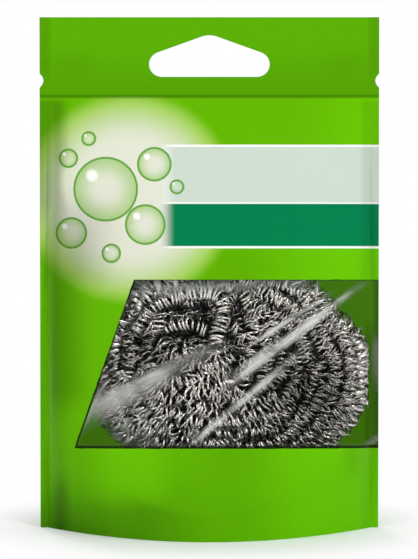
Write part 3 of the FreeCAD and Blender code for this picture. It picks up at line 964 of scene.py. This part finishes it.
# Layers of each strand: least and most depth below the surface, spacing of its folds, and where they begin.
LAYERS = (
    (0.0, 0.25, 2.8, 0.05),
    (0.5, 0.9, 2.8, 0.05),
    (2.6, 3.2, 3.6, 0.05),
    (3.8, 4.2, 4.2, 0.05),
    (0.1, 0.3, 2.8, 0.38),
)

# Ribbon and ropes at the left, how much finer they are at the right, and the turn at which they are finest.
RIBBON_WIDE = 0.58
RIBBON_FINER = 0.14
RIBBON_THIN = 0.16
ROPE_RADIUS = 2.2
ROPE_FINER = 0.65
ROPE_PITCH = 1.25
PITCH_FINER = 0.25
FINEST_WAY = 0.2


def strands(steel):
    """Twelve strands, each folded to and fro over its sector of the ball in outer and under layers."""
    for number in range(STRANDS):
        rng = np.random.default_rng(FIRST_SEED + number)
        middle = 2 * math.pi * number / STRANDS
        ropes = []
        fine = 0.5 + 0.5 * math.cos(middle - FINEST_WAY)
        ribbon = (RIBBON_WIDE - RIBBON_FINER * fine, RIBBON_THIN)
        for low, high, spacing, begin in LAYERS:
            radius = ROPE_RADIUS - ROPE_FINER * fine + rng.uniform(-0.15, 0.15)
            path = folded_path(middle, radius + rng.uniform(low, high), spacing, rng, begin)
            ropes.append(rope(path, radius, ROPE_PITCH - PITCH_FINER * fine, ribbon, rng))
        if number + 1 in TOP_ROPES:
            points, radius, depth, order = TOP_ROPES[number + 1]
            ropes.append(rope(top_rope(points, radius, depth), radius, TOP_PITCH, TOP_RIBBON, rng, order))
        piece = gather(f"curled_strand_{number + 1:02d}", ropes)
        finish_piece(piece, steel, "scrubber", "steel_wire", f"coil_strand_{number + 1:02d}")


def packed_core_shade(steel):
    """Painted shade: a nearly black, lumpy flattened ball under the strands that stands in for the shaded
    inner turns.
    """

    def place(s, t):
        around = 2 * math.pi * s
        up = math.pi * (t - 0.5)
        waves = 0.015 * np.sin(9 * around + 5 * up) + 0.01 * np.sin(13 * around - 8 * up)
        lump = 1 + waves * np.cos(up)
        way = np.array((np.cos(around) * np.cos(up), np.sin(up), np.sin(around) * np.cos(up)))
        ball = full_outline((MIDDLE[:, None] + (HALF_SIZE - CORE_DEPTH)[:, None] * way * lump).T)
        return settle(ball, np.zeros(len(ball))).T

    ball = grid("packed_coils_shade", *CORE_POINTS, place)
    edit_all(ball)
    bpy.ops.mesh.remove_doubles(threshold=0.05 * MM)
    bpy.ops.mesh.normals_make_consistent(inside=False)
    bpy.ops.object.mode_set(mode="OBJECT")
    bpy.ops.object.shade_smooth()
    finish_piece(ball, steel, "scrubber", "inner_steel", "inner_coils")


# The floor, in millimetres: its size, how far it lies below the pouch, and where it turns plain white.
FLOOR_SIZE = 60000
FLOOR_DROP = 0.02
WHITE_FROM = (30.0, 75.0)


def pale_floor():
    """Wide pale floor that is plain white away from the pouch."""
    f = Finish("pale_floor", Roughness=0.9, Specular_IOR_Level=0.1)
    where, x, y, _ = f.place()
    f.feed("Base Color", f.mix(tone(246, 246, 246), tone(250, 250, 250), f.noise(where, 3.0)))
    rays = f.node("ShaderNodeLightPath", output="Is Camera Ray")
    seen = rays.most(rays.also("Is Glossy Ray")).most(rays.also("Is Transmission Ray"))
    far = away_from(x, y * 1.4).ease(*WHITE_FROM)
    glow = f.node("ShaderNodeEmission", inputs={"Color": WHITE, "Strength": 1.0})
    blend = f.node("ShaderNodeMixShader", inputs={0: seen * far, 2: glow})
    f.tree.links.new(f.shader.outputs[0], blend.socket.node.inputs[1])
    f.tree.links.new(blend.socket, f.tree.nodes["Material Output"].inputs["Surface"])

    def place(s, t):
        return (s - 0.5) * FLOOR_SIZE, (t - 0.5) * FLOOR_SIZE, np.full_like(s, -FLOOR_DROP)

    floor = grid("pale_floor", 5, 5, place)
    floor.data.materials.append(f.material)


# Strength of the even light all round, and the lamps: name, place in metres, size and power.
ROOM_LIGHT = 0.22
LAMPS = (
    ("key", (0.7, -0.95, 0.85), 0.4, 7.4),
    ("fill", (-0.75, -0.9, 0.6), 0.45, 3.8),
    ("top", (0.1, -0.1, 1.2), 0.7, 3.8),
    ("edge", (1.1, -0.45, 0.35), 0.25, 0.9),
    ("rear", (-0.5, 1.1, 0.8), 0.5, 6.0),
)
LAMPS_AIM = np.array((0.0, 0.0, 0.06))


def lights():
    """Even light all round and soft lamps."""
    world = bpy.data.worlds.new("studio")
    bpy.context.scene.world = world
    world.use_nodes = True
    world.node_tree.nodes["Background"].inputs["Color"].default_value = WHITE
    world.node_tree.nodes["Background"].inputs["Strength"].default_value = ROOM_LIGHT
    for name, spot, size, power in LAMPS:
        lamp = bpy.data.lights.new(name, "AREA")
        lamp.size = size
        lamp.energy = power
        holder = bpy.data.objects.new(name, lamp)
        holder.location = spot
        turn = LAMPS_AIM - np.array(spot)
        holder.rotation_euler = Vector(turn).to_track_quat("-Z", "Y").to_euler()
        bpy.context.collection.objects.link(holder)


# The camera, in millimetres: the place it looks at, its distance, the frame's height there and its sensor.
CAMERA_AIM = RISE * 66.05 + OUT * 20.4 - RIGHT * 0.1
CAMERA_FAR = 3600.0
FRAME_HEIGHT = 148.2
SENSOR = 36.0


def camera():
    """Camera far off and square to the leaning front."""
    lens = bpy.data.cameras.new("photo")
    lens.sensor_width = SENSOR
    lens.lens = SENSOR * CAMERA_FAR / FRAME_HEIGHT
    lens.clip_end = 60.0
    holder = bpy.data.objects.new("photo", lens)
    holder.location = (CAMERA_AIM + OUT * CAMERA_FAR) * MM
    holder.rotation_euler = (math.radians(90) - LEAN, 0.0, 0.0)
    bpy.context.collection.objects.link(holder)
    bpy.context.scene.camera = holder
    bpy.context.scene.view_settings.view_transform = "Standard"


paper = printed_film()
clear = clear_film()
ribbon_steel = steel_with_painted_light("steel_ribbon", *RIBBON_STEEL, 0.28)
core_steel = steel_with_painted_light("shaded_steel", *CORE_SHADE_STEEL, 0.5)
front_and_window(paper, clear)
back(paper)
gusset(paper)
header(paper)
packed_core_shade(core_steel)
strands(ribbon_steel)
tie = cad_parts["centre_tie"]
tie.data.materials.clear()
tie.data.materials.append(ribbon_steel)
pale_floor()
lights()
camera()
